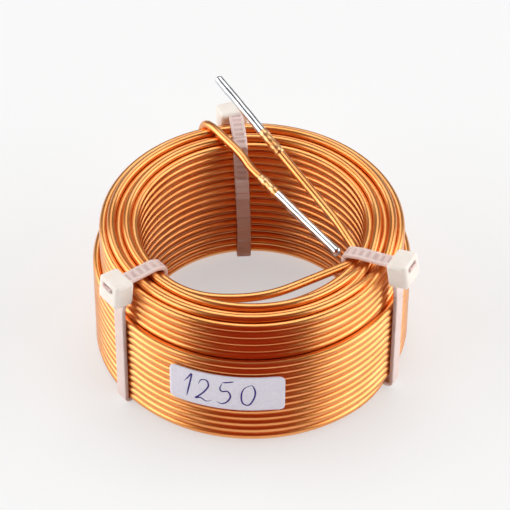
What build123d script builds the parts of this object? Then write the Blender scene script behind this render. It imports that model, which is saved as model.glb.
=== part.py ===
from build123d import *
from math import cos, radians, sin, sqrt, tan
import os

# Air-core inductor for a loudspeaker crossover. One enamelled copper wire is
# wound in six layers round a bare centre hole and tied with three nylon ties.
# Millimetres. The origin is on the coil's axis, in the plane that it stands on.
# An azimuth is measured from the front (-Y), positive towards the right (+X).

# Wire
wire_d = 1.27            # over the enamel
core_d = 1.20            # bare copper
wire_r = wire_d / 2
core_r = core_d / 2

# Winding
layers = 6
rows = 16                # turns in each of the five inner layers
last_rows = 12           # turns in the outermost layer, which stops short
first_layer_r = 16.83    # radius to the wire's centre in the first layer
layer_step = 1.09
row_pitch = 1.34
last_row_pitch = 1.275   # the outermost layer is laid tighter
crest_half = 0.34        # half of the flat crest that stands for a round turn
groove_depth = 0.42      # how far a groove goes in between two turns

# Nylon ties
strap_w = 2.1
strap_t = 0.65
strap_bevel = 0.14       # along the strap's long edges
head_radial = 3.1
head_across = 4.3
head_height = 3.9
head_bevel = 0.5
neck_w = 3.0             # the strap widens into its head
neck_h = 2.0
neck_overlap = 0.3       # up into the head
slot_w = 2.7
slot_h = 1.1
slot_depth = 0.45
slot_below_top = 1.0     # from the head's top to the middle of its slot
head_gap = 0.2           # between the coil and its head
tail_stub = 0.5          # what the cutter left outside the head
tie_bend = strap_t / 2 + 0.3    # at the strap's centre line, round the coil's edges
lead_push = 1.0          # how far the start lead holds the right-hand strap off
push_from = 7.0          # under the coil's top
push_bend = 8.0

# Label
label_from = -29.6       # azimuth of its left end
label_sweep = 41.3
label_low = 6.35         # over the bottom turn's lowest line
label_h = 6.5
label_t = 0.12
label_corner = 0.9

# Tinned wire ends
tin_r = 0.66
bead_r = 0.80
tip_dome = 0.35
tin_end_t = 0.30         # tin beyond the copper at the tip

# Worked out
base = strap_t           # the coil lies on its straps
coil_inner = first_layer_r - wire_r
coil_outer = first_layer_r + (layers - 1) * layer_step + wire_r
shelf_outer = coil_outer - layer_step
coil_top = base + wire_d + (rows - 1) * row_pitch
top_z = coil_top - wire_r


def polar(radius, azimuth, z):
    """A point from its radius, its azimuth from the front and its height."""
    a = radians(azimuth)
    return Vector(radius * sin(a), -radius * cos(a), z)


# Start lead: the first layer's top turn leaves its bed at the front, bows into
# the hole, turns back under the right-hand tie and rises out over the rear rim.
bow_from = -47.0         # azimuth where the top turn leaves its bed
bow_to = 60.0            # azimuth of the bed's other end, under the tie
bow_reach = 5.3          # straight run that the bow's first bend eats into
bow_right_x = 1.7
start_corner = Vector(15.25, -7.45, top_z)
start_rise = Vector(14.3, -4.7, top_z)
start_bend = Vector(11.96, -0.48, base + 21.85)
start_tip = Vector(-5.06, 21.37, base + 30.0)
start_tin = 11.0         # from the tip back to the beads
start_beads = 4.8        # scorched enamel and solder beads
start_radii = [11.0, 16.0, 1.6, 5.0, 12.0]

# Finish lead: the last turn climbs the outside at the rear left, hooks over
# the rim and crosses the hole, nearly level, to the right-hand tie.
climb_from = -100.0
climb_to = -150.0
climb_high = base + 18.0
climb_sunk = 0.15        # its foot lies this far inside the last turn's bed
climb_off = 0.05         # it rests on the shelf's enamel this far out
lead_in_run = 2.0        # straight run that the climb goes on for
hook_foot = polar(22.5, -160.0, base + 19.7)
hook_top = polar(22.5, -162.0, base + 22.5)
finish_sag = Vector(-1.83, 13.07, base + 22.8)
finish_bend = Vector(-0.4, 10.55, base + 22.25)
finish_tip = Vector(12.15, -6.75, base + 21.3)
finish_tin = 14.4
finish_beads = 4.4
finish_radii = [2.0, 1.6, 1.2, 8.0, 8.0]


def layer_r(layer):
    """Radius to the wire's centre in a layer, counted from the hole."""
    return first_layer_r + (layer - 1) * layer_step


def row_z(layer, row):
    """Height of a turn's centre, counted from the bottom."""
    pitch = last_row_pitch if layer == layers else row_pitch
    return base + wire_r + (row - 1) * pitch


def crest(centre, out, along):
    """The two corners of a turn's crest on the side that faces out."""
    tip_r, tip_z = centre[0] + out[0] * wire_r, centre[1] + out[1] * wire_r
    return [(tip_r + k * along[0], tip_z + k * along[1]) for k in (-crest_half, crest_half)]


def row_of_turns(centres, out, along):
    """Crests of turns side by side, with a groove between each two."""
    floor = wire_r - groove_depth
    points = []
    for i, centre in enumerate(centres):
        if i:
            last = centres[i - 1]
            points.append(((last[0] + centre[0]) / 2 + out[0] * floor,
                           (last[1] + centre[1]) / 2 + out[1] * floor))
        points += crest(centre, out, along)
    return points


def winding_outline():
    """Section of the packed turns, walked round from the inner bottom turn."""
    right, left, up, down = (1, 0), (-1, 0), (0, 1), (0, -1)
    bottom = [(layer_r(n), row_z(n, 1)) for n in range(1, layers + 1)]
    outside = [(layer_r(layers), row_z(layers, k)) for k in range(1, last_rows + 1)]
    above = [(layer_r(layers - 1), row_z(1, k)) for k in range(last_rows, rows + 1)]
    top = [(layer_r(n), top_z) for n in range(layers - 1, 0, -1)]
    inside = [(layer_r(1), row_z(1, k)) for k in range(rows, 0, -1)]
    shelf_groove = (shelf_outer, outside[-1][1] + crest_half)
    return (
        row_of_turns(bottom, down, right)
        + row_of_turns(outside, right, up)
        + crest(outside[-1], up, left)
        + [shelf_groove]
        + row_of_turns(above, right, up)[1:]
        + row_of_turns(top, up, left)
        + row_of_turns(inside, left, down)
    )


def packed_turns():
    """All the turns that lie in their layers, as one ridged ring."""
    with BuildSketch(Plane.XZ) as section:
        with BuildLine():
            Polyline(*winding_outline(), close=True)
        make_face()
    return revolve(section.sketch, Axis.Z, 360)


def empty_bed():
    """Room of the first layer's top turn, along the stretch that it leaves."""
    bed_r = layer_r(1) + layer_step / 2
    bed_z = top_z - row_pitch / 2
    half_plane = Plane(origin=(0, 0, 0), x_dir=polar(1, bow_from, 0), z_dir=polar(1, bow_from - 90, 0))
    with BuildSketch(half_plane) as section:
        with BuildLine():
            Polyline((coil_inner - 1, bed_z), (bed_r, bed_z), (bed_r, coil_top + 1),
                     (coil_inner - 1, coil_top + 1), close=True)
        make_face()
    return revolve(section.sketch, Axis.Z, bow_to - bow_from)


def toward(a, b):
    """Direction from one point to another."""
    return (b - a).normalized()


def round_wire(path, radius=wire_r):
    """Round wire along a path of runs and tangent arcs."""
    return sweep(Plane(path @ 0, z_dir=path % 0) * Circle(radius), path)


def start_lead_line():
    """Line of the bow, the bend under the tie and the run to the beads."""
    bed_end = polar(layer_r(1), bow_from, top_z)
    heading = Vector(cos(radians(bow_from)), sin(radians(bow_from)), 0)
    bow_left = bed_end + heading * bow_reach
    bow_right = Vector(bow_right_x, bow_left.Y, top_z)
    stop = start_tip - toward(start_bend, start_tip) * (start_tin + start_beads)
    return FilletPolyline(bed_end, bow_left, bow_right, start_corner, start_rise, start_bend,
                          stop, radius=start_radii)


def climb_line():
    """Line of the last turn's rise over the shelf, on a tilted circle."""
    inner, outer = layer_r(layers) - climb_sunk, shelf_outer + wire_r + climb_off
    low, high = row_z(layers, last_rows) - climb_sunk, climb_high
    return ThreePointArc(
        polar(inner, climb_from, low),
        polar((inner + outer) / 2, (climb_from + climb_to) / 2, (low + high) / 2),
        polar(outer, climb_to, high),
    )


def finish_lead_line():
    """Line of the hook over the rim and the run across the hole."""
    climb = climb_line()
    leave = climb @ 1
    lead_in = leave + (climb % 1) * lead_in_run
    stop = finish_tip - toward(finish_bend, finish_tip) * (finish_tin + finish_beads)
    return FilletPolyline(leave, lead_in, hook_foot, hook_top, finish_sag, finish_bend, stop,
                          radius=finish_radii)


def bare_core(tip, behind, tin, beads):
    """Bare copper inside the tin, from the beads to just short of the tip."""
    run = toward(behind, tip)
    foot = tip - run * (tin + beads)
    return extrude(Plane(foot, z_dir=run) * Circle(core_r), tin + beads - tin_end_t)


def winding():
    """The whole wire: the packed turns and its two leads."""
    wire = packed_turns() - empty_bed()
    wire += round_wire(start_lead_line())
    wire += round_wire(climb_line()) + round_wire(finish_lead_line())
    wire += bare_core(start_tip, start_bend, start_tin, start_beads)
    wire += bare_core(finish_tip, finish_bend, finish_tin, finish_beads)
    return wire


def tinned_end(tip, behind, tin, beads):
    """Tin over the bare copper, with the beads where the enamel stops."""
    run = toward(behind, tip)
    whole = tin + beads
    foot = tip - run * whole
    third = beads / 3
    with BuildSketch(Plane.XZ) as section:
        with BuildLine():
            Polyline((core_r, 0), (wire_r, 0), (bead_r, 0.5 * third), (tin_r, 1.1 * third),
                     (bead_r - 0.06, 1.8 * third), (tin_r, 3 * third))
            Line((tin_r, 3 * third), (tin_r, whole - tip_dome))
            Line((tin_r, whole - tip_dome), (tin_r - tip_dome * 0.7, whole))
            Polyline((tin_r - tip_dome * 0.7, whole), (0, whole), (0, whole - tin_end_t),
                     (core_r, whole - tin_end_t), (core_r, 0))
        make_face()
    return Plane(foot, z_dir=run) * revolve(section.sketch, Axis.Z, 360)


def strap_line(rise, push):
    """Centre line of a strap round the winding, in the plane of its tie.

    It starts under the head, drops down the outside, goes under the coil and
    up the inside, and rises over the top into the head. X is the radius.
    """
    half = strap_t / 2
    outer, inner = coil_outer + half, strap_inner_r()
    start = Vector(outer, 0, coil_top - head_height / 2)
    top_corner = Vector(inner - push, 0, coil_top + half)
    over = head_middle_r() + head_radial / 2 + tail_stub - top_corner.X
    tail = top_corner + Vector(over, 0, over * tan(radians(rise)))
    points = [start, Vector(outer, 0, half), Vector(inner, 0, half)]
    radii = [tie_bend, tie_bend]
    if push:
        points.append(Vector(inner, 0, coil_top - push_from))
        radii.append(push_bend)
    return FilletPolyline(*points, top_corner, tail, radius=radii + [tie_bend])


def strap_inner_r():
    """Radius to a strap's middle in the hole, where its edges meet the turns."""
    return sqrt(coil_inner ** 2 - (strap_w / 2) ** 2) - strap_t / 2


def head_middle_r():
    """Radius to the middle of a head."""
    return shelf_outer + head_gap + head_radial / 2


def strap(rise, push):
    """The strap, a flat band with bevelled edges along its line."""
    line = strap_line(rise, push)
    across = Plane(line @ 0, x_dir=(0, 1, 0), z_dir=line % 0)
    with BuildSketch(across) as section:
        Rectangle(strap_w, strap_t)
        chamfer(section.vertices(), strap_bevel)
    return sweep(section.sketch, line)


def head():
    """The moulded head round its slot, which is at the origin along X."""
    drop = slot_below_top - head_height / 2
    block = Pos(0, 0, drop) * Box(head_radial, head_across, head_height)
    block = chamfer(block.edges(), head_bevel)
    mouth = Pos(head_radial / 2, 0, 0) * Box(2 * slot_depth, slot_w, slot_h)
    return block - mouth


def neck():
    """Taper where the strap widens into the underside of its head."""
    top = coil_top - head_height / 2
    with BuildSketch(Plane.YZ) as outline:
        with BuildLine():
            Polyline((-strap_w / 2, top - neck_h), (strap_w / 2, top - neck_h),
                     (neck_w / 2, top + neck_overlap), (-neck_w / 2, top + neck_overlap),
                     close=True)
        make_face()
    return Pos(coil_outer, 0, 0) * extrude(outline.sketch, strap_t)


def tie(azimuth, rise, push=0.0, head_shift=0.0):
    """One nylon tie, moulded in one piece: strap, neck and head."""
    start_r = strap_inner_r() - push
    slot_z = coil_top + strap_t / 2 + (head_middle_r() - start_r) * tan(radians(rise))
    placed_head = Pos(head_middle_r(), head_shift, slot_z) * Rot(0, -rise, 0) * head()
    whole = strap(rise, push) + neck() + placed_head
    return whole.rotate(Axis.Z, azimuth - 90)


def label():
    """Small paper label bent round the outermost layer's crests."""
    low = base + label_low
    start = Plane(origin=(0, 0, 0), x_dir=polar(1, label_from, 0), z_dir=polar(1, label_from - 90, 0))
    with BuildSketch(start) as section:
        with BuildLine():
            Polyline((coil_outer, low), (coil_outer + label_t, low),
                     (coil_outer + label_t, low + label_h), (coil_outer, low + label_h), close=True)
        make_face()
    sheet = revolve(section.sketch, Axis.Z, label_sweep)
    corners = sheet.edges().filter_by(lambda e: abs(e.length - label_t) < 1e-3)
    return fillet(corners, label_corner)


pieces = {
    "winding": winding,
    "tie_left": lambda: tie(azimuth=-52.5, rise=5.5),
    "tie_right": lambda: tie(azimuth=62.5, rise=9.5, push=lead_push),
    "tie_rear": lambda: tie(azimuth=-173.6, rise=0.8, head_shift=0.4),
    "label": label,
    "tinned_end_start": lambda: tinned_end(start_tip, start_bend, start_tin, start_beads),
    "tinned_end_finish": lambda: tinned_end(finish_tip, finish_bend, finish_tin, finish_beads),
}

os.makedirs("parts", exist_ok=True)
for name, make in pieces.items():
    export_step(make(), f"parts/{name}.step")
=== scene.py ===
"""An air-core inductor of enamelled copper wire and nylon ties, on a pale studio floor."""

from __future__ import annotations

import logging
from dataclasses import dataclass, field
from enum import Enum
from math import cos, pi, radians, sin, sqrt, tan

import bmesh
import bpy
from bmesh.types import BMEdge, BMesh, BMFace, BMVert
from bpy.types import ID, Material, Node, NodeSocket, NodeTree, Object
from mathutils import Matrix, Vector, noise

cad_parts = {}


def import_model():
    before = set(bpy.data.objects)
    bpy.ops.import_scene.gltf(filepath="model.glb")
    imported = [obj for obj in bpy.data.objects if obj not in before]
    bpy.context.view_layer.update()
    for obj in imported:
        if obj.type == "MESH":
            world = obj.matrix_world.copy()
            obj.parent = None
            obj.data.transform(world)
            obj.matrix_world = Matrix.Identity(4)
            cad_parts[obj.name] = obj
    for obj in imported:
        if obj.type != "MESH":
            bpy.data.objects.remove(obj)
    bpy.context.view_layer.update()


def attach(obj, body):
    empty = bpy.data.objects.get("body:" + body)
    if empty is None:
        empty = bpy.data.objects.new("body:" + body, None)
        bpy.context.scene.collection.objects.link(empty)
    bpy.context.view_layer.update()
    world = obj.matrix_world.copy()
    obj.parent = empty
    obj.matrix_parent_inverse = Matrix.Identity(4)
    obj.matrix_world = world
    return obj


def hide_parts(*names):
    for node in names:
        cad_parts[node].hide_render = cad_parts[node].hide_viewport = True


Pair = tuple[float, float]
Triple = tuple[float, float, float]

MM = 0.001
LOG = logging.getLogger("inductor")

X_AXIS, Y_AXIS, Z_AXIS = Vector((1, 0, 0)), Vector((0, 1, 0)), Vector((0, 0, 1))

# Shapes are worked out in millimetres, with azimuths in degrees from the front towards +X.
WIRE_R = 0.635
COIL_INNER = 16.195
COIL_OUTER = 22.915

# The tinned tips, and where their straight runs start.
START_TIP, START_BEND = Vector((-5.06, 21.37, 30.65)), Vector((11.96, -0.48, 22.5))
FINISH_TIP, FINISH_AIM = Vector((12.15, -6.75, 21.95)), Vector((-0.4, 10.55, 22.9))

# The finish lead's hook over the rear rim, and its run down to the lumps by the tin.
HOOK = (
    (-8.35, 20.95, 18.95), (-7.62, 21.25, 19.8), (-7.4, 21.32, 20.8),
    (-7.2, 21.12, 21.75), (-6.75, 20.42, 22.62), (-6.1, 19.4, 23.08),
    (-5.3, 18.2, 23.3), (-4.2, 16.52, 23.38), (-2.96, 14.8, 23.36),
    (-1.85, 13.22, 23.26), (-1.0, 11.9, 23.05), (-0.38, 10.66, 22.86),
    (0.33, 9.62, 22.78), (1.25, 8.3, 22.74),
)

# Pen strokes of a plain number, as ways across and up the label from 0 to 1.
PEN_STROKES = (
    ((0.135, 0.6), (0.17, 0.74), (0.202, 0.88), (0.19, 0.64), (0.172, 0.4), (0.156, 0.16)),
    ((0.262, 0.62), (0.292, 0.78), (0.335, 0.79), (0.352, 0.64), (0.322, 0.46), (0.27, 0.28),
     (0.236, 0.18), (0.28, 0.22), (0.33, 0.15), (0.38, 0.2)),
    ((0.47, 0.8), (0.515, 0.82), (0.57, 0.86)),
    ((0.472, 0.79), (0.452, 0.58), (0.468, 0.53), (0.515, 0.55), (0.54, 0.42), (0.518, 0.25),
     (0.466, 0.15), (0.42, 0.2)),
    ((0.7, 0.76), (0.655, 0.66), (0.632, 0.42), (0.65, 0.2), (0.69, 0.16), (0.735, 0.34),
     (0.748, 0.6), (0.718, 0.77), (0.69, 0.73)),
)


class Slot(Enum):
    """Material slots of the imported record."""

    WIRE = "enamelled_wire"
    NYLON = "nylon"
    PAPER = "label_paper"
    TIN = "tin"


class Way(Enum):
    """Which way a layer of turns is laid."""

    DOWN = "down"
    UP = "up"


def linear(hex_colour: str) -> tuple[float, float, float, float]:
    """Turn an sRGB hex colour into linear light.

    Args:
        hex_colour: Six hex digits after a hash.

    Returns:
        Red, green, blue and an alpha of 1.
    """
    parts = [int(hex_colour[i : i + 2], 16) / 255 for i in (1, 3, 5)]
    flat = [c / 12.92 if c <= 0.04045 else ((c + 0.055) / 1.055) ** 2.4 for c in parts]
    return (*flat, 1.0)


def add_node(
    tree: NodeTree, kind: str, inputs: dict[str | int, object] | None = None, **settings: object
) -> Node:
    """Add a node, set its properties and feed its inputs.

    Args:
        tree: The node tree that gets the node.
        kind: The node's type name.
        inputs: Values or output sockets for its inputs, by name or index.
        **settings: Properties of the node itself.

    Returns:
        The new node.
    """
    node = tree.nodes.new(kind)
    for name, value in settings.items():
        setattr(node, name, value)
    for key, value in (inputs or {}).items():
        if isinstance(value, NodeSocket):
            tree.links.new(value, node.inputs[key])
        else:
            node.inputs[key].default_value = value
    return node


def new_material(name: str, **shader: object) -> tuple[Material, NodeTree, Node]:
    """Make a node material with one shader whose fixed values are set on its own sockets.

    Args:
        name: The material's name.
        **shader: Input values of the shader, with underscores for the spaces of their names.

    Returns:
        The material, its node tree and its shader node.
    """
    material = bpy.data.materials.new(name)
    material.use_nodes = True
    tree = material.node_tree
    tree.nodes.clear()
    values = {key.replace("_", " "): value for key, value in shader.items()}
    body = add_node(tree, "ShaderNodeBsdfPrincipled", values)
    add_node(tree, "ShaderNodeOutputMaterial", {"Surface": body.outputs[0]})
    return material, tree, body


def ramp(tree: NodeTree, factor: NodeSocket, stops: list[tuple[float, str]]) -> NodeSocket:
    """Colour a factor by a ramp.

    Args:
        tree: The node tree.
        factor: The socket that the ramp reads.
        stops: Positions with their sRGB hex colours, in order.

    Returns:
        The ramp's colour output.
    """
    node = add_node(tree, "ShaderNodeValToRGB", {"Fac": factor})
    steps = node.color_ramp.elements
    while len(steps) < len(stops):
        steps.new(0.5)
    for step, (position, colour) in zip(steps, stops):
        step.position = position
        step.color = linear(colour)
    return node.outputs[0]


def spotted(
    tree: NodeTree, size_mm: float, detail: float, squeeze: Triple = (1, 1, 1)
) -> NodeSocket:
    """Noise over the piece's own millimetres.

    Args:
        tree: The node tree.
        size_mm: Rough size of a spot in millimetres.
        detail: Octaves of finer noise.
        squeeze: Factors on the pattern's frequency along X, Y and Z.

    Returns:
        The noise factor's output.
    """
    where = add_node(tree, "ShaderNodeTexCoord")
    squeezed = {"Vector": where.outputs["Object"], "Scale": squeeze}
    scaled = add_node(tree, "ShaderNodeMapping", squeezed)
    noisy = {"Vector": scaled.outputs[0], "Scale": 1 / (size_mm * MM), "Detail": detail}
    return add_node(tree, "ShaderNodeTexNoise", noisy).outputs[0]


def bumped(body: Node, height: NodeSocket, depth_mm: float) -> None:
    """Raise a shader's surface by a height pattern.

    Args:
        body: The shader node.
        height: The pattern's output, from 0 to 1.
        depth_mm: Relief of the full range in millimetres.
    """
    tree = body.id_data
    raised = {"Height": height, "Distance": depth_mm * MM, "Strength": 1.0}
    relief = add_node(tree, "ShaderNodeBump", raised)
    tree.links.new(relief.outputs[0], body.inputs["Normal"])


@dataclass(frozen=True)
class EnamelledCopper:
    """Drawn copper under a clear amber polyester-imide enamel: a deep, glossy copper gold."""

    copper: str = "#F5A85E"
    deep: str = "#EC974A"
    roughness: float = 0.28
    wander_mm: float = 6.0
    mark_mm: float = 2.5
    mark_depth_mm: float = 0.002

    def make(self) -> Material:
        """Make the material.

        Returns:
            The material.
        """
        # Copper's IOR stays at the default; the enamel is a coat over it.
        material, tree, body = new_material(
            "enamelled copper wire",
            Metallic=1.0,
            Roughness=self.roughness,
            Coat_Weight=0.6,
            Coat_Roughness=0.16,
            Coat_IOR=1.55,
        )
        # The enamel's thickness wanders a little along a turn, so its amber does too.
        wander = spotted(tree, self.wander_mm, 2.0, (1.0, 1.0, 3.0))
        amber = ramp(tree, wander, [(0.35, self.deep), (0.65, self.copper)])
        tree.links.new(amber, body.inputs["Base Color"])
        # Draw marks are drawn coarser than they are, so that they soften the highlights at all.
        bumped(body, spotted(tree, self.mark_mm, 1.0), self.mark_depth_mm)
        return material


@dataclass(frozen=True)
class NaturalNylon:
    """Moulded natural nylon 6.6: milky, satin, and translucent where it is thin."""

    name: str = "natural nylon, thick"
    milk: str = "#FBF1E8"
    shade: str = "#F5E9DF"
    through: float = 0.0
    glow_in: float = 0.35
    depth: float = 0.0012
    web_painted_copper: str = ""
    cloud_mm: float = 1.8
    spark_mm: float = 0.25
    spark_depth_mm: float = 0.012

    def make(self) -> Material:
        """Make the material.

        Returns:
            The material.
        """
        material, tree, body = new_material(
            self.name,
            Roughness=0.38,
            IOR=1.53,
            Transmission_Weight=self.through,
            Subsurface_Weight=self.glow_in,
            Subsurface_Radius=(1.0, 0.85, 0.75),
            Subsurface_Scale=self.depth,
        )
        cloudy = spotted(tree, self.cloud_mm, 2.0)
        colour = ramp(tree, cloudy, [(0.3, self.shade), (0.7, self.milk)])
        if self.web_painted_copper:
            # Between its teeth the strap is thin, and the copper behind it shows through. The
            # darker, pinker colour there is painted light that stands in for that copper glow.
            # Of a Mix node's inputs and outputs, 6, 7 and 2 are the two colours and their mix.
            thin = add_node(tree, "ShaderNodeAttribute", attribute_name="thin_web")
            both = {0: thin.outputs["Fac"], 6: colour, 7: linear(self.web_painted_copper)}
            colour = add_node(tree, "ShaderNodeMix", both, data_type="RGBA").outputs[2]
        tree.links.new(colour, body.inputs["Base Color"])
        # The mould's fine spark texture.
        bumped(body, spotted(tree, self.spark_mm, 2.0), self.spark_depth_mm)
        return material


@dataclass(frozen=True)
class LabelPaper:
    """Uncoated white label paper that shows the wires under it as faint ribs."""

    white: str = "#F0ECF6"
    fibre: str = "#E8E3F0"
    fibre_mm: float = 0.5
    rib_pitch_mm: float = 1.275
    rib_depth_mm: float = 0.02

    def make(self) -> Material:
        """Make the material.

        Returns:
            The material.
        """
        material, tree, body = new_material("white label paper", Roughness=0.72, IOR=1.47)
        fibres = spotted(tree, self.fibre_mm, 4.0)
        paper = ramp(tree, fibres, [(0.3, self.fibre), (0.7, self.white)])
        tree.links.new(paper, body.inputs["Base Color"])
        where = add_node(tree, "ShaderNodeTexCoord")
        # A wave of scale 1 has a band every 0.314.
        rate = 0.314 / (self.rib_pitch_mm * MM)
        ribs = add_node(
            tree,
            "ShaderNodeTexWave",
            {"Vector": where.outputs["Object"], "Scale": rate, "Distortion": 0.4},
            bands_direction="Z",
        )
        bumped(body, ribs.outputs["Fac"], self.rib_depth_mm)
        return material


@dataclass(frozen=True)
class PenInk:
    """Violet fibre-tip ink, dried flat into the paper and darker where it pooled."""

    ink: str = "#3A1F8C"
    pooled: str = "#28126E"
    pool_mm: float = 0.6

    def make(self) -> Material:
        """Make the material.

        Returns:
            The material.
        """
        material, tree, body = new_material("violet pen ink", Roughness=0.6, IOR=1.45)
        pools = spotted(tree, self.pool_mm, 3.0)
        violet = ramp(tree, pools, [(0.3, self.pooled), (0.7, self.ink)])
        tree.links.new(violet, body.inputs["Base Color"])
        return material


@dataclass(frozen=True)
class DippedTin:
    """Solder-dipped copper end: bright tin with slow runs where it set."""

    bright: str = "#DCDDDF"
    dull: str = "#C2C4C7"
    run_mm: float = 1.6
    run_depth_mm: float = 0.03

    def make(self) -> Material:
        """Make the material.

        Returns:
            The material.
        """
        material, tree, body = new_material("dipped tin", Metallic=1.0, Roughness=0.17)
        runs = spotted(tree, self.run_mm, 3.0)
        tin = ramp(tree, runs, [(0.35, self.dull), (0.6, self.bright)])
        tree.links.new(tin, body.inputs["Base Color"])
        bumped(body, runs, self.run_depth_mm)
        return material


@dataclass(frozen=True)
class ScorchedEnamel:
    """Enamel burnt back by the solder: lumps of pinkish gold with brown char between them."""

    gold: str = "#F2C48E"
    singed: str = "#E6A76A"
    char: str = "#BC7C48"
    burn_mm: float = 1.1
    burn_depth_mm: float = 0.012

    def make(self) -> Material:
        """Make the material.

        Returns:
            The material.
        """
        material, tree, body = new_material(
            "scorched enamel and solder", Metallic=1.0, Roughness=0.34
        )
        burnt = spotted(tree, self.burn_mm, 4.0)
        crust = ramp(tree, burnt, [(0.32, self.char), (0.46, self.singed), (0.6, self.gold)])
        tree.links.new(crust, body.inputs["Base Color"])
        bumped(body, burnt, self.burn_depth_mm)
        return material


# The strap is thinner than the head, so the copper behind it shows through more. Its rosier colour
# is painted light: that copper glow is put into the nylon's own colour.
STRAP_NYLON = NaturalNylon(
    "natural nylon, thin", "#FFE6DF", "#FDDDD4", through=0.05, glow_in=0.2, depth=0.0003,
    web_painted_copper="#EBC9C2",
)


@dataclass
class Finishes:
    """Every material of the object, made once."""

    wire: Material = field(default_factory=EnamelledCopper().make)
    strap: Material = field(default_factory=STRAP_NYLON.make)
    head: Material = field(default_factory=NaturalNylon().make)
    paper: Material = field(default_factory=LabelPaper().make)
    ink: Material = field(default_factory=PenInk().make)
    tin: Material = field(default_factory=DippedTin().make)
    scorched: Material = field(default_factory=ScorchedEnamel().make)


def polar(radius: float, azimuth: float, z: float) -> Vector:
    """A point in millimetres from its radius, azimuth from the front and height."""
    return Vector((radius * sin(radians(azimuth)), -radius * cos(radians(azimuth)), z))


def eased(u: float) -> float:
    """A smooth step from 0 to 1."""
    u = min(1.0, max(0.0, u))
    return u * u * (3 - 2 * u)


def bent_line(corners: list[Vector], radii: list[float], step: float = 0.5) -> list[Vector]:
    """Line through corners that are bent to given radii, as points.

    Args:
        corners: End points and corners in millimetres.
        radii: Bend radius at each inner corner.
        step: Rough distance between points.

    Returns:
        The line's points.
    """
    line = [corners[0]]
    for before, corner, after, radius in zip(corners, corners[1:], corners[2:], radii):
        come, leave = (before - corner).normalized(), (after - corner).normalized()
        half = come.angle(leave) / 2
        back = radius / tan(half)
        centre = corner + (come + leave).normalized() * (radius / sin(half))
        first, last = corner + come * back - centre, corner + leave * back - centre
        sweep, axis = first.angle(last), first.cross(last)
        count = max(3, round(sweep * radius / step))
        line += [
            centre + Matrix.Rotation(sweep * i / count, 3, axis) @ first for i in range(count + 1)
        ]
    line.append(corners[-1])
    even = [line[0]]
    for a, b in zip(line, line[1:]):
        gap = (b - a).length
        count = max(1, round(gap / step))
        even += [a.lerp(b, (i + 1) / count) for i in range(count) if gap > 1e-4]
    return even


def flowing_line(points: list[Vector], step: float) -> list[Vector]:
    """Smooth line through given points.

    Args:
        points: Points in millimetres that the line goes through, no two in one place.
        step: Rough distance between the points that come back.

    Returns:
        The line's points.
    """
    padded = [points[0] * 2 - points[1], *points, points[-1] * 2 - points[-2]]
    line = [points[0]]
    for a, b, c, d in zip(padded, padded[1:], padded[2:], padded[3:]):
        gap = (c - b).length
        start = ((b - a) / (b - a).length + (c - b) / gap) * gap / 2
        stop = ((c - b) / gap + (d - c) / (d - c).length) * gap / 2
        count = max(2, round(gap / step))
        for i in range(1, count + 1):
            u = i / count
            line.append(
                b * (2 * u**3 - 3 * u**2 + 1)
                + start * (u**3 - 2 * u**2 + u)
                + c * (3 * u**2 - 2 * u**3)
                + stop * (u**3 - u**2)
            )
    return line


def settled(line: list[Vector], rounds: int) -> list[Vector]:
    """Soften a line's corners, as a wire bent by hand has no sharp start to a bend.

    Args:
        line: The line's points.
        rounds: How often each inner point moves towards its neighbours.

    Returns:
        The softened line's points.
    """
    for _ in range(rounds):
        inner = [(a + 2 * b + c) / 4 for a, b, c in zip(line, line[1:], line[2:])]
        line = [line[0], *inner, line[-1]]
    return line


def finish_piece(
    piece: Object, material: Material, stands_for: tuple[str, ...] = ()
) -> None:
    """Dress a piece and tie it to the frame.

    Args:
        piece: The new object.
        material: Its material.
        stands_for: CAD nodes that it replaces.
    """
    piece.data.materials.append(material)
    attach(piece, "root")
    if stands_for:
        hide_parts(*stands_for)
    LOG.info("%s: %d faces", piece.name, len(piece.data.polygons))


def linked(name: str, data: ID) -> Object:
    """Put a mesh, lamp or camera into the scene.

    Args:
        name: The object's name.
        data: The object's data.

    Returns:
        The new object at the origin.
    """
    thing = bpy.data.objects.new(name, data)
    bpy.context.collection.objects.link(thing)
    return thing


def object_from(name: str, bm: BMesh) -> Object:
    """Turn a bmesh in metres into an object at the origin.

    Args:
        name: The object's name.
        bm: The mesh, which is freed.

    Returns:
        The new object.
    """
    mesh = bpy.data.meshes.new(name)
    bm.to_mesh(mesh)
    bm.free()
    return linked(name, mesh)


def mesh_object(name: str, bm: BMesh) -> Object:
    """Turn a bmesh in millimetres into a smooth piece in metres at the origin.

    Args:
        name: The piece's name.
        bm: The mesh, which is freed.

    Returns:
        The new object.
    """
    bmesh.ops.remove_doubles(bm, verts=bm.verts, dist=1e-5)
    bmesh.ops.recalc_face_normals(bm, faces=bm.faces)
    bmesh.ops.scale(bm, vec=(MM, MM, MM), verts=bm.verts)
    for face in bm.faces:
        face.smooth = True
    return object_from(name, bm)


def rounded(
    bm: BMesh, geom: list[BMVert] | list[BMEdge], offset: float, segments: int
) -> None:
    """Round the edges of a block, or the corners of a flat section.

    Args:
        bm: The mesh.
        geom: The block's edges or the section's vertices.
        offset: How far back the rounding starts.
        segments: Its number of facets.
    """
    affect = "VERTICES" if isinstance(geom[0], BMVert) else "EDGES"
    bmesh.ops.bevel(
        bm, geom=geom, offset=offset, offset_type="OFFSET", affect=affect, segments=segments,
        profile=0.5, material=-1,
    )


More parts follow.
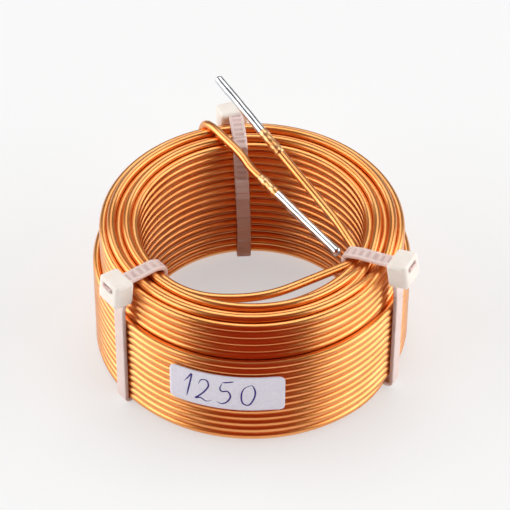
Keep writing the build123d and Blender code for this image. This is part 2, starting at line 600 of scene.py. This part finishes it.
def wire_tube(name: str, line: list[Vector], radii: list[float], sides: int = 16) -> Object:
    """Round wire along a line, as a mesh tube with closed ends.

    Args:
        name: The piece's name.
        line: Centre points in millimetres.
        radii: Radius at each point in millimetres.
        sides: Even number of sides.

    Returns:
        The new object at the origin.
    """
    curve = bpy.data.curves.new(name, "CURVE")
    curve.dimensions = "3D"
    curve.bevel_depth = MM
    curve.bevel_resolution = (sides - 4) // 2
    curve.use_fill_caps = True
    spline = curve.splines.new("POLY")
    spline.points.add(len(line) - 1)
    for point, place, radius in zip(spline.points, line, radii):
        point.co = (*(place * MM), 1)
        point.radius = radius
    drawn = bpy.data.objects.new(name + ".line", curve)
    mesh = bpy.data.meshes.new_from_object(drawn)
    bpy.data.objects.remove(drawn)
    bpy.data.curves.remove(curve)
    mesh.name = name
    for face in mesh.polygons:
        face.use_smooth = len(face.vertices) == 4
    return linked(name, mesh)


def slide_section(bm: BMesh, face: BMFace, frames: list[Matrix]) -> list[list[BMVert]]:
    """Draw a section's face through a row of frames, as an extruder does.

    Args:
        bm: The mesh that holds the face.
        face: The section, already in the first frame.
        frames: Frames along the line, the first one where the face is.

    Returns:
        The section's vertices at each frame.
    """
    rows = [list(face.verts)]
    for here, there in zip(frames, frames[1:]):
        out = bmesh.ops.extrude_face_region(bm, geom=[face])["geom"]
        face = next(g for g in out if isinstance(g, BMFace))
        bmesh.ops.transform(bm, matrix=there @ here.inverted(), verts=face.verts)
        rows.append(list(face.verts))
    return rows


@dataclass
class Coil:
    """The wound wire: 92 turns in six layers, laid up and down in one run, with both leads."""

    base: float = 0.65
    first_layer_r: float = 16.83
    layer_step: float = 1.09
    layers: int = 6
    rows: int = 16
    last_rows: int = 12
    row_pitch: float = 1.34
    last_row_pitch: float = 1.275
    nested_layers: tuple[int, ...] = (2, 4)
    nest: float = 0.67
    points_per_turn: int = 96
    # Where in its turn the wire steps to the next bed, as degrees run and half width.
    first_step: Pair = (306.5, 53.0)
    middle_step: Pair = (251.0, 20.0)
    last_step: Pair = (148.0, 26.0)
    # How far a hand-wound turn wanders off its bed, and over how many degrees.
    wander_up: float = 0.035
    wander_up_over: float = 55.0
    wander_out: float = 0.02
    wander_out_over: float = 70.0
    # The start lead: where its enamel starts from the tip, and the bow's last run.
    bow_azimuth: float = -47.0
    enamel_start: float = 15.6
    bow_run: float = 5.3
    # The finish lead's climb up the step that the last layer leaves at the rear left.
    climb_azimuth: float = -100.0
    climb_r: float = 22.28
    climb_out: float = 0.2
    climb_sweep: float = 54.0
    climb_rise: float = 3.1

    def layer_r(self, layer: int) -> float:
        """Radius to the wire's centre in a layer, counted from the hole."""
        return self.first_layer_r + (layer - 1) * self.layer_step

    def row_z(self, layer: int, row: int) -> float:
        """Height of a turn's centre. The second and fourth layers nest half a turn higher."""
        pitch = self.last_row_pitch if layer == self.layers else self.row_pitch
        return self.base + WIRE_R + (row - 1) * pitch + (layer in self.nested_layers) * self.nest

    def beds(self) -> list[tuple[int, float, float]]:
        """Find every turn's bed.

        Returns:
            Layer, radius and height of each bed in winding order.
        """
        found = []
        for layer in range(1, self.layers + 1):
            way = Way.DOWN if layer % 2 else Way.UP
            count = self.last_rows if layer == self.layers else self.rows
            order = range(count, 0, -1) if way is Way.DOWN else range(1, count + 1)
            found += [(layer, self.layer_r(layer), self.row_z(layer, row)) for row in order]
        return found

    def step_zone(self, layer: int) -> Pair:
        """Where in its turn a layer's wire steps to the next bed, as degrees and half width."""
        return {1: self.first_step, self.layers: self.last_step}.get(layer, self.middle_step)

    def turns(self) -> dict[int, list[Vector]]:
        """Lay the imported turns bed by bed.

        Returns:
            The wire's centre line, split by layer with shared end points.
        """
        beds = self.beds()
        lines: dict[int, list[Vector]] = {n: [] for n in range(1, self.layers + 1)}
        end = 360.0 * (len(beds) - 1) + self.bow_azimuth - self.climb_azimuth
        count = round(end * self.points_per_turn / 360.0)
        index = 0
        for i in range(count + 1):
            run = end * i / count
            layer, r, z = beds[index]
            middle, half = self.step_zone(layer)
            into = (run - 360.0 * index - middle + half) / (2 * half)
            if into >= 1 and index + 1 < len(beds):
                index += 1
                layer, r, z = beds[index]
                into = -1.0
            if into > 0 and index + 1 < len(beds):
                after = beds[index + 1]
                r += (after[1] - r) * eased(into)
                z += (after[2] - z) * eased(into)
            # Each layer reads its own stretch of the noise.
            loose = noise.noise(Vector((run / self.wander_up_over, layer * 3.7, 0.0)))
            slack = noise.noise(Vector((run / self.wander_out_over, 9.1, layer * 2.3)))
            place = polar(
                r + self.wander_out * slack, self.bow_azimuth - run, z + self.wander_up * loose
            )
            if lines[layer] == [] and layer > 1:
                lines[layer].append(lines[layer - 1][-1])
            lines[layer].append(place)
        return lines

    def start_lead(self) -> list[Vector]:
        """Bend the start lead, from its lumps through the bow in the hole to its bed in front.

        Returns:
            The lead's points in millimetres.
        """
        top = self.row_z(1, self.rows)
        run = (START_BEND - START_TIP).normalized()
        bed_end = polar(self.first_layer_r, self.bow_azimuth, top)
        away = radians(self.bow_azimuth)
        bow_left = bed_end + Vector((cos(away), sin(away), 0)) * self.bow_run
        corners = [
            START_TIP + run * self.enamel_start,
            START_BEND,
            Vector((14.3, -4.7, top)),
            Vector((15.25, -7.45, top)),
            Vector((1.7, bow_left.y, top)),
            bow_left,
            bed_end,
        ]
        bends = [12.0, 5.0, 1.6, 16.0, 11.0]
        return settled(bent_line(corners, bends), 4)

    def finish_lead(self, leave: Vector) -> list[Vector]:
        """Bend the finish lead: the last turn's climb, the hook and the run to the lumps.

        Args:
            leave: Where the last turn leaves its bed.

        Returns:
            The lead's points in millimetres.
        """
        low = self.row_z(self.layers, self.last_rows)
        climb = [
            polar(
                self.climb_r + self.climb_out * eased(u),
                self.climb_azimuth - self.climb_sweep * u,
                low + self.climb_rise * u * u,
            )
            for u in (0.16, 0.33, 0.5, 0.67, 0.84, 1.0)
        ]
        return settled(flowing_line([leave, *climb, *map(Vector, HOOK)], 0.4), 2)

    def build(self, finishes: Finishes) -> None:
        """Make one piece of each layer, the leads with the layers they belong to.

        Args:
            finishes: The object's materials.
        """
        lines = self.turns()
        lines[1] = self.start_lead()[:-1] + lines[1]
        lines[self.layers] += self.finish_lead(lines[self.layers][-1])[1:]
        for layer, line in lines.items():
            tube = wire_tube(f"wire_layer_{layer}", line, [WIRE_R] * len(line))
            finish_piece(tube, finishes.wire, ("winding",))


@dataclass
class SolderedEnd:
    """A wire's tinned end with the scorched lumps, each a place and a height, by its enamel."""

    name: str
    node: str
    tip: Vector
    bend: Vector
    tin: float
    lumps: list[Pair]
    seed: float = 0.0
    tin_r: float = 0.66
    tin_step: float = 0.25
    tip_round: float = 0.42
    tip_start: float = 0.06
    tip_flat: float = 0.3
    lump_step: float = 0.12
    lump_half: float = 0.75
    lump_overlap: float = 0.3
    lump_taper: int = 3
    lump_proud: Pair = (-0.02, 0.03)
    # Height and length of the waves in the tin's run and surface, and in the lumps'.
    tin_sway: Pair = (0.05, 3.0)
    tin_wave: Pair = (0.03, 1.7)
    lump_sway: Pair = (0.06, 1.1)
    lump_wave: Pair = (0.035, 0.5)

    def uneven(self, at: float, wave: Pair, row: float) -> float:
        """A wave's height at a place along the wire, each wave from its own row of the noise."""
        return wave[0] * noise.noise(Vector((at / wave[1], self.seed, row)))

    def build(self, finishes: Finishes) -> None:
        """Make the tin and the lumps.

        Args:
            finishes: The object's materials.
        """
        run = (self.bend - self.tip).normalized()
        side = run.cross(Z_AXIS).normalized()
        steps = round(self.tin / self.tin_step)
        line, radii = [], []
        for i in range(steps + 1):
            at = self.tin * i / steps
            line.append(self.tip + run * at + side * self.uneven(at, self.tin_sway, 0))
            dome = sqrt(max(0.0, 1 - (1 - min(1.0, (at + self.tip_start) / self.tip_round)) ** 2))
            full = self.tip_flat + (1 - self.tip_flat) * dome
            radii.append(self.tin_r * full + self.uneven(at, self.tin_wave, 4))
        dipped = wire_tube(f"{self.name}_tin", line, radii)
        finish_piece(dipped, finishes.tin, (self.node,))

        start = self.tin - self.lump_overlap
        length = self.lumps[-1][0] - self.tin + 2 * self.lump_overlap
        low, proud = self.lump_proud
        count = round(length / self.lump_step)
        line, radii = [], []
        for i in range(count + 1):
            at = start + length * i / count
            swell = sum(
                height * max(0.0, 1 - ((at - middle) / self.lump_half) ** 2) ** 2
                for middle, height in self.lumps
            )
            edge = min(1.0, i / self.lump_taper, (count - i) / self.lump_taper)
            wave = self.uneven(at, self.lump_wave, 8)
            line.append(self.tip + run * at + side * self.uneven(at, self.lump_sway, 2))
            radii.append(WIRE_R + low + edge * (proud + swell + wave))
        beads = wire_tube(f"{self.name}_beads", line, radii)
        finish_piece(beads, finishes.scorched)


@dataclass
class CableTie:
    """A small nylon cable tie round the winding: toothed strap, tapered neck, head with a slot."""

    name: str
    azimuth: float
    # Slope of the top run, and how far the start lead pushes the inner run into the hole.
    rise: float
    push: float = 0.0
    # The head's shift off the tie's plane, the inner run's lean sideways, and the head's turn.
    head_shift: float = 0.0
    lean: float = 0.0
    yaw: float = 0.0
    # The coil's top, at the rim and over the nested layers.
    coil_top: float = 22.02
    nested_top: float = 22.69
    # The strap, its start below the coil's top, its bends and, past the head, its cut tail.
    strap_w: float = 2.1
    strap_t: float = 0.65
    strap_edge: float = 0.17
    start_drop: float = 1.9
    foot_bend: float = 0.62
    push_down: float = 7.0
    push_bend: float = 8.0
    rim_bend: float = 0.95
    top_bends: tuple[Pair, ...] = ((17.3, 1.5), (20.7, 2.0))
    nest_gap: float = 0.02
    head_bend: float = 2.0
    head_entry: float = 0.6
    tail_out: float = 1.75
    tail_rise: float = 1.5
    line_step: float = 0.18
    # Where the lean starts and over what length it grows, along the radius and down the hole.
    lean_r: Pair = (21.0, 4.5)
    lean_z: Pair = (24.0, 20.0)
    # The teeth, between two plain rails.
    tooth_pitch: float = 1.1
    tooth_depth: float = 0.13
    toothed_run: float = 16.5
    rail_x: float = 0.7
    rail_slope: float = 0.1
    # The head's size out, across and up, and its slot's mouth.
    head: Triple = (3.1, 4.3, 3.9)
    head_r: float = 23.575
    head_over_slot: float = 1.0
    head_edge: float = 0.55
    mouth_half: Pair = (1.08, 0.355)
    mouth_depth: float = 0.2
    # The neck under the head.
    neck_tall: float = 2.5
    neck_wide: float = 3.0
    neck_drop: float = 2.7
    neck_edge: float = 0.12

    @property
    def inner_r(self) -> float:
        """Radius to the strap's middle in the hole, where its edges meet the turns."""
        return sqrt(COIL_INNER**2 - (self.strap_w / 2) ** 2) - self.strap_t / 2

    @property
    def slot_z(self) -> float:
        """Height of the slot's middle."""
        start = self.inner_r - self.push
        return self.coil_top + self.strap_t / 2 + (self.head_r - start) * tan(radians(self.rise))

    def strap_line(self) -> list[Vector]:
        """Lay the strap's centre line in its own plane, X the radius.

        Returns:
            The line's points, from under the head to the cut tail.
        """
        half = self.strap_t / 2
        outer, inner = COIL_OUTER + half, self.inner_r
        over = self.nested_top + half + self.nest_gap
        slope = tan(radians(self.rise))
        start = self.coil_top + half
        corners = [
            Vector((outer, 0, self.coil_top - self.start_drop)),
            Vector((outer, 0, half)),
            Vector((inner, 0, half)),
        ]
        radii = [self.foot_bend, self.foot_bend]
        if self.push:
            corners.append(Vector((inner, 0, self.coil_top - self.push_down)))
            radii.append(self.push_bend)
        corner_r = inner - self.push
        corners.append(Vector((corner_r, 0, start + 0.1)))
        radii.append(self.rim_bend)
        for r, bend in self.top_bends:
            corners.append(Vector((r, 0, max(over, start + (r - corner_r) * slope))))
            radii.append(bend)
        corners.append(Vector((self.head_r - self.head_entry, 0, self.slot_z)))
        radii.append(self.head_bend)
        tail_z = self.slot_z + self.tail_rise * slope
        corners.append(Vector((self.head_r + self.tail_out, 0, tail_z)))
        return bent_line(corners, radii, self.line_step)

    def turned(self, place: Vector) -> float:
        """Work out the azimuth of a point of the strap, which leans in the hole.

        Args:
            place: The point in the strap's own plane.

        Returns:
            The azimuth in degrees.
        """
        (from_r, over_r), (from_z, over_z) = self.lean_r, self.lean_z
        inside = eased((from_r - place.x) / over_r)
        return self.azimuth + self.lean * inside * eased((from_z - place.z) / over_z)

    def strap_frames(self) -> list[Matrix]:
        """Set frames along the strap: X across it, Y out of its outer face, Z along it.

        Returns:
            A frame for each point of its line.
        """
        line = self.strap_line()
        frames = []
        for before, place, after in zip([line[0], *line], line, [*line[1:], line[-1]]):
            along = (after - before).normalized()
            axes = Matrix((Y_AXIS, along.cross(Y_AXIS), along)).transposed().to_4x4()
            turn = Matrix.Rotation(radians(self.turned(place) - 90), 4, "Z")
            frames.append(turn @ Matrix.Translation(place) @ axes)
        return frames

    def strap(self) -> BMesh:
        """Draw the strap as one band with rounded edges, and cut its teeth.

        Returns:
            The strap's mesh in millimetres.
        """
        frames = self.strap_frames()
        bm = bmesh.new()
        bm.verts.layers.float.new("thin_web")
        bmesh.ops.create_grid(bm, x_segments=1, y_segments=1, size=0.5)
        bmesh.ops.scale(bm, vec=(self.strap_w, self.strap_t, 1), verts=bm.verts)
        rounded(bm, bm.verts[:], self.strap_edge, 3)
        # Four marks on the section's outer edge are the feet and tops of the two rails.
        outer = max(bm.edges, key=lambda e: e.calc_length() + (e.verts[0].co + e.verts[1].co).y)
        cut = bmesh.ops.bisect_edges(bm, edges=[outer], cuts=4)["geom_split"]
        marks = sorted((g for g in cut if isinstance(g, BMVert)), key=lambda v: v.co.x)
        inset = self.rail_x - self.rail_slope
        for vert, x in zip(marks, (-self.rail_x, -inset, inset, self.rail_x)):
            vert.co.x = x
        bm.faces.ensure_lookup_table()
        section = bm.faces[0]
        bmesh.ops.transform(bm, matrix=frames[0], verts=bm.verts)
        rows = slide_section(bm, section, frames)
        self.cut_teeth(bm, rows, frames)
        return bm

    def cut_teeth(self, bm: BMesh, rows: list[list[BMVert]], frames: list[Matrix]) -> None:
        """Sink the webs between the teeth, on the stretch that ends in the head.

        Args:
            bm: The strap's mesh.
            rows: Its section's vertices at each frame.
            frames: The frames.
        """
        thin = bm.verts.layers.float["thin_web"]
        outer_y = self.strap_t / 2 - 0.01
        web_x = self.rail_x - self.rail_slope / 2
        left = self.toothed_run
        for row, frame, after in zip(rows[::-1], frames[::-1], [frames[-1], *frames[:0:-1]]):
            left -= (after.translation - frame.translation).length
            if left < 0:
                break
            if left / self.tooth_pitch % 1 < 0.5:
                continue
            back = frame.inverted()
            for vert in row:
                local = back @ vert.co
                if local.y > outer_y and abs(local.x) < web_x:
                    vert.co -= frame.col[1].xyz * self.tooth_depth
                    # This mark also sets where the strap gets its painted copper tint.
                    vert[thin] = 1.0

    def cut_mouth(self, bm: BMesh) -> None:
        """Sink the slot's mouth into the head's outer face.

        Args:
            bm: The head's mesh, with its slot's middle at the origin and +X outwards.
        """
        half_y, half_z = self.mouth_half
        sides = ((Y_AXIS, half_y), (Y_AXIS, -half_y), (Z_AXIS, half_z), (Z_AXIS, -half_z))
        for normal, at in sides:
            near = [f for f in bm.faces if f.normal.x > 0.99]
            cut = near + [e for f in near for e in f.edges] + [v for f in near for v in f.verts]
            bmesh.ops.bisect_plane(
                bm, geom=list(dict.fromkeys(cut)), plane_co=normal * at, plane_no=normal
            )
        mouth = []
        for face in bm.faces:
            middle = face.calc_center_median()
            if face.normal.x > 0.99 and abs(middle.y) < half_y and abs(middle.z) < half_z:
                mouth.append(face)
        pushed = bmesh.ops.extrude_face_region(bm, geom=mouth)["geom"]
        sunk = [g for g in pushed if isinstance(g, BMVert)]
        bmesh.ops.delete(bm, geom=[f for f in mouth if f.is_valid], context="FACES")
        bmesh.ops.translate(bm, vec=(-self.mouth_depth, 0, 0), verts=sunk)

    def head_block(self) -> BMesh:
        """Shape the head, with rounded edges and its slot's mouth.

        Returns:
            The head's mesh in millimetres.
        """
        drop = self.head_over_slot - self.head[2] / 2
        bm = bmesh.new()
        bmesh.ops.create_cube(bm, size=1.0)
        bmesh.ops.scale(bm, vec=self.head, verts=bm.verts)
        bmesh.ops.translate(bm, vec=(0, 0, drop), verts=bm.verts)
        rounded(bm, bm.edges[:], self.head_edge, 4)
        self.cut_mouth(bm)
        place = (
            Matrix.Rotation(radians(self.azimuth - 90), 4, "Z")
            @ Matrix.Translation((self.head_r, self.head_shift, self.slot_z))
            @ Matrix.Rotation(radians(self.yaw), 4, "Z")
            @ Matrix.Rotation(radians(-self.rise), 4, "Y")
        )
        bmesh.ops.transform(bm, matrix=place, verts=bm.verts)
        return bm

    def neck(self) -> BMesh:
        """Shape the taper where the strap widens into the underside of its head.

        Returns:
            The neck's mesh in millimetres.
        """
        bm = bmesh.new()
        bmesh.ops.create_cube(bm, size=1.0)
        bmesh.ops.scale(bm, vec=(self.strap_t, self.strap_w, self.neck_tall), verts=bm.verts)
        for vert in bm.verts:
            if vert.co.z > 0:
                vert.co.y *= self.neck_wide / self.strap_w
        rounded(bm, bm.edges[:], self.neck_edge, 2)
        place = Vector((COIL_OUTER + self.strap_t / 2 + 0.01, 0, self.coil_top - self.neck_drop))
        turn = Matrix.Rotation(radians(self.azimuth - 90), 3, "Z")
        bmesh.ops.translate(bm, vec=place, verts=bm.verts)
        bmesh.ops.rotate(bm, matrix=turn, verts=bm.verts)
        return bm

    def build(self, finishes: Finishes) -> None:
        """Make the tie's strap, head and neck.

        Args:
            finishes: The object's materials.
        """
        band = mesh_object(f"{self.name}_strap", self.strap())
        finish_piece(band, finishes.strap, (self.name,))
        block = mesh_object(f"{self.name}_head", self.head_block())
        block.modifiers.new("even shading", "WEIGHTED_NORMAL").keep_sharp = True
        finish_piece(block, finishes.head)
        flare = mesh_object(f"{self.name}_neck", self.neck())
        finish_piece(flare, finishes.strap)


@dataclass
class Label:
    """A small paper label bent round the outer turns, with a number written on it by hand."""

    start: float = -29.6
    sweep: float = 41.3
    low: float = 7.0
    height: float = 6.5
    thickness: float = 0.12
    gap: float = 0.02
    corner: float = 0.9
    # Each end's share of the label that lifts off the coil, and how far.
    right_curl: Pair = (0.14, 0.28)
    left_curl: Pair = (0.06, 0.08)
    facets: tuple[int, int] = (40, 12)
    # The pen: the size that its strokes are written to, its line and how deep that lies.
    page: Pair = (16.5, 6.5)
    pen_r: float = 0.155
    pen_sunk: float = 0.085
    pen_step: float = 0.15

    def spot(self, across: float, up: float, proud: float) -> Vector:
        """A point on the label's face.

        Args:
            across: Way along the label, from 0 at its left end to 1.
            up: Way up the label, from 0 to 1.
            proud: Millimetres outside the paper's back.

        Returns:
            The point in millimetres.
        """
        (right, right_lift), (left, left_lift) = self.right_curl, self.left_curl
        curl = right_lift * max(0.0, (across - (1 - right)) / right) ** 2
        curl += left_lift * max(0.0, (left - across) / left)
        radius = COIL_OUTER + self.gap + proud + curl
        return polar(radius, self.start + self.sweep * across, self.low + self.height * up)

    def sheet(self) -> Object:
        """Cut the paper flat and bend it round the coil.

        Returns:
            The new object.
        """
        bm = bmesh.new()
        bmesh.ops.create_grid(bm, x_segments=1, y_segments=1, size=0.5)
        wide = COIL_OUTER * radians(self.sweep)
        bmesh.ops.scale(bm, vec=(wide, self.height, 1), verts=bm.verts)
        rounded(bm, bm.verts[:], self.corner, 6)
        for normal, length, facets in zip((X_AXIS, Y_AXIS), (wide, self.height), self.facets):
            for i in range(1, facets):
                place = normal * (length * (i / facets - 0.5))
                everything = bm.verts[:] + bm.edges[:] + bm.faces[:]
                bmesh.ops.bisect_plane(bm, geom=everything, plane_co=place, plane_no=normal)
        for vert in bm.verts:
            vert.co = self.spot(vert.co.x / wide + 0.5, vert.co.y / self.height + 0.5, 0.0)
        bmesh.ops.recalc_face_normals(bm, faces=bm.faces)
        if sum(f.normal.dot(f.calc_center_median().normalized()) for f in bm.faces) < 0:
            bmesh.ops.reverse_faces(bm, faces=bm.faces)
        bmesh.ops.solidify(bm, geom=bm.faces[:], thickness=-self.thickness)
        return mesh_object("label_paper", bm)

    def build(self, finishes: Finishes) -> None:
        """Make the paper and the pen strokes.

        Args:
            finishes: The object's materials.
        """
        finish_piece(self.sheet(), finishes.paper, ("label",))
        wide, high = self.page
        proud = self.thickness - self.pen_sunk
        for number, stroke in enumerate(PEN_STROKES, 1):
            flat = [Vector((across * wide, up * high, 0)) for across, up in stroke]
            drawn = flowing_line(flat, self.pen_step)
            line = [self.spot(p.x / wide, p.y / high, proud) for p in drawn]
            last = len(line) - 1
            # The pen's line is thinner where it lands and where it lifts.
            press = [min(1.0, 4 * i / last, 5 * (last - i) / last) for i in range(last + 1)]
            radii = [self.pen_r * (0.6 + 0.4 * firm) for firm in press]
            ink = wire_tube(f"pen_stroke_{number}", line, radii, 8)
            finish_piece(ink, finishes.ink)


@dataclass
class Studio:
    """Pale floor, soft lamps, dim surround and the camera at the photograph's angle, in metres."""

    floor_half: float = 2.5
    floor_white: str = "#F6F6F6"
    painted_shade_brown: str = "#8A2A10"
    flag_lift: float = 0.0006
    # The flag's near edge, then each bend's way on and how much wider the flag gets there.
    flag_edge: Pair = (0.045, -0.038)
    flag_bends: tuple[tuple[Triple, float], ...] = (
        ((0, -0.03, 0), 1.4), ((0, -0.11, 0.075), 1.4), ((0, -0.06, 0.125), 1.4),
        ((0, 0.04, 0.13), 1.1), ((0, 0.08, 0.07), 1.0),
    )
    disc_r: float = 0.01
    disc_y: float = 0.004
    softbox_x: float = 0.46
    softbox_place: Pair = (-0.03, 0.2)
    softbox_size: Pair = (0.84, 0.4)
    softbox_glow: float = 2.42
    # The surround's strength goes through the second pair as the direction's Y does the first.
    surround_y: Pair = (-0.7, -0.1)
    surround_strength: Pair = (0.05, 0.22)
    eye: Triple = (0, -0.2829, 0.2795)
    aim: Triple = (0.00045, 0.00212, 0.01328)
    roll: float = 0.28

    def floor(self) -> None:
        """Lay a plain pale floor."""
        bm = bmesh.new()
        bmesh.ops.create_grid(bm, x_segments=1, y_segments=1, size=self.floor_half)
        plane = object_from("floor", bm)
        pale = linear(self.floor_white)
        material, tree, body = new_material(
            "white card floor", Roughness=0.9, Base_Color=pale, Specular_IOR_Level=0.0
        )
        # Half of the card's white is its own where it is seen, so its shadows stay pale.
        path = add_node(tree, "ShaderNodeLightPath")
        seen = path.outputs["Is Camera Ray"]
        for ray in ("Is Glossy Ray", "Is Transmission Ray"):
            either = {0: seen, 1: path.outputs[ray]}
            seen = add_node(tree, "ShaderNodeMath", either, operation="MAXIMUM").outputs[0]
        share = add_node(tree, "ShaderNodeMath", {0: seen, 1: 0.5}, operation="MULTIPLY")
        own = {"Color": linear("#FFFFFF"), "Strength": 1.0}
        white = add_node(tree, "ShaderNodeEmission", own)
        both = {0: share.outputs[0], 1: body.outputs[0], 2: white.outputs[0]}
        mixed = add_node(tree, "ShaderNodeMixShader", both)
        tree.links.new(mixed.outputs[0], tree.get_output_node("ALL").inputs["Surface"])
        plane.data.materials.append(material)

    def flag(self) -> None:
        """Hang a dark flag in front of the coil and a disc in its hole, for its reflections:
        painted shade, in a copper red-brown, for what the coil reflects there.
        """
        half, near_y = self.flag_edge
        bm = bmesh.new()
        near = [bm.verts.new((x, near_y, self.flag_lift)) for x in (-half, half)]
        edge = bm.edges.new(near)
        for way, flare in self.flag_bends:
            out = bmesh.ops.extrude_edge_only(bm, edges=[edge])["geom"]
            edge = next(g for g in out if isinstance(g, BMEdge))
            bmesh.ops.translate(bm, vec=way, verts=edge.verts[:])
            bmesh.ops.scale(bm, vec=(flare, 1, 1), verts=edge.verts[:])
        in_hole = Matrix.Translation((0, self.disc_y, self.flag_lift))
        bmesh.ops.create_circle(bm, cap_ends=True, segments=48, radius=self.disc_r, matrix=in_hole)
        card = object_from("flag", bm)
        brown = linear(self.painted_shade_brown)
        material, _, _ = new_material(
            "brown painted shade flag", Roughness=1.0, Base_Color=brown, Specular_IOR_Level=0.0
        )
        card.data.materials.append(material)
        # Only reflections see the card and the disc. They are painted shade, and they cast and
        # light nothing.
        card.visible_camera = False
        card.visible_shadow = False
        card.visible_diffuse = False

    def softbox(self, name: str, side: int) -> None:
        """Hang a soft lamp that the camera doesn't see, aimed at the coil.

        Args:
            name: The lamp's name.
            side: -1 for the left and 1 for the right.
        """
        place = Vector((side * self.softbox_x, *self.softbox_place))
        wide, high = self.softbox_size
        light = bpy.data.lights.new(name, "AREA")
        light.shape = "RECTANGLE"
        light.size, light.size_y = wide, high
        light.energy = self.softbox_glow * pi * wide * high
        lamp = linked(name, light)
        lamp.location = place
        lamp.rotation_euler = (Vector((0, 0, 0.01)) - place).to_track_quat("-Z", "Y").to_euler()
        lamp.visible_camera = False

    def overhead(self) -> None:
        """Hang a broad soft light over the coil and behind it."""
        light = bpy.data.lights.new("overhead diffuser", "SUN")
        light.energy = 0.98
        light.angle = radians(48)
        linked(light.name, light).rotation_euler = (radians(-27), 0, 0)

    def surround(self) -> None:
        """Make the surround dim, and darkest behind the camera."""
        world = bpy.data.worlds.new("surround")
        world.use_nodes = True
        tree = world.node_tree
        tree.nodes.clear()
        where = add_node(tree, "ShaderNodeTexCoord")
        split = add_node(tree, "ShaderNodeSeparateXYZ", {0: where.outputs["Generated"]})
        (from_y, to_y), (dark, dim) = self.surround_y, self.surround_strength
        fade = {"From Min": from_y, "From Max": to_y, "To Min": dark, "To Max": dim}
        level = add_node(tree, "ShaderNodeMapRange", {"Value": split.outputs["Y"], **fade})
        light = {"Color": linear("#FFFFFF"), "Strength": level.outputs[0]}
        glow = add_node(tree, "ShaderNodeBackground", light)
        add_node(tree, "ShaderNodeOutputWorld", {"Surface": glow.outputs[0]})
        bpy.context.scene.world = world

    def camera(self) -> None:
        """Set the camera up as fitted to the photograph."""
        data = bpy.data.cameras.new("camera")
        data.lens = 189.54
        data.sensor_width = 36.0
        data.clip_start = 0.01
        eye = linked("camera", data)
        place = Vector(self.eye)
        turn = (Vector(self.aim) - place).to_track_quat("-Z", "Y").to_matrix()
        eye.rotation_euler = (turn @ Matrix.Rotation(radians(self.roll), 3, "Z")).to_euler()
        eye.location = place
        bpy.context.scene.camera = eye

    def build(self) -> None:
        """Set the studio up."""
        self.floor()
        self.flag()
        self.softbox("left softbox", -1)
        self.softbox("right softbox", 1)
        self.overhead()
        self.surround()
        self.camera()
        bpy.context.scene.view_settings.view_transform = "Standard"


def main() -> None:
    """Build the studio and the object."""
    logging.basicConfig(level=logging.INFO, format="%(name)s %(message)s")
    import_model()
    Studio().build()
    finishes = Finishes()
    Coil().build(finishes)
    for tie in (
        CableTie("tie_left", azimuth=-52.5, rise=5.5),
        CableTie("tie_right", azimuth=62.5, rise=9.5, push=1.0),
        CableTie("tie_rear", azimuth=-173.6, rise=0.8, head_shift=0.4, lean=-2.0, yaw=13),
    ):
        tie.build(finishes)
    Label().build(finishes)
    lumps = [(11.7, 0.13), (12.9, 0.06), (14.2, 0.15), (15.3, 0.09)]
    SolderedEnd("start_end", "tinned_end_start", START_TIP, START_BEND, 11.0, lumps).build(finishes)
    lumps = [(15.1, 0.15), (16.4, 0.05), (17.5, 0.14), (18.5, 0.06)]
    finish_end = SolderedEnd(
        "finish_end", "tinned_end_finish", FINISH_TIP, FINISH_AIM, 14.4, lumps, seed=5.0
    )
    finish_end.build(finishes)


if __name__ == "__main__":
    main()
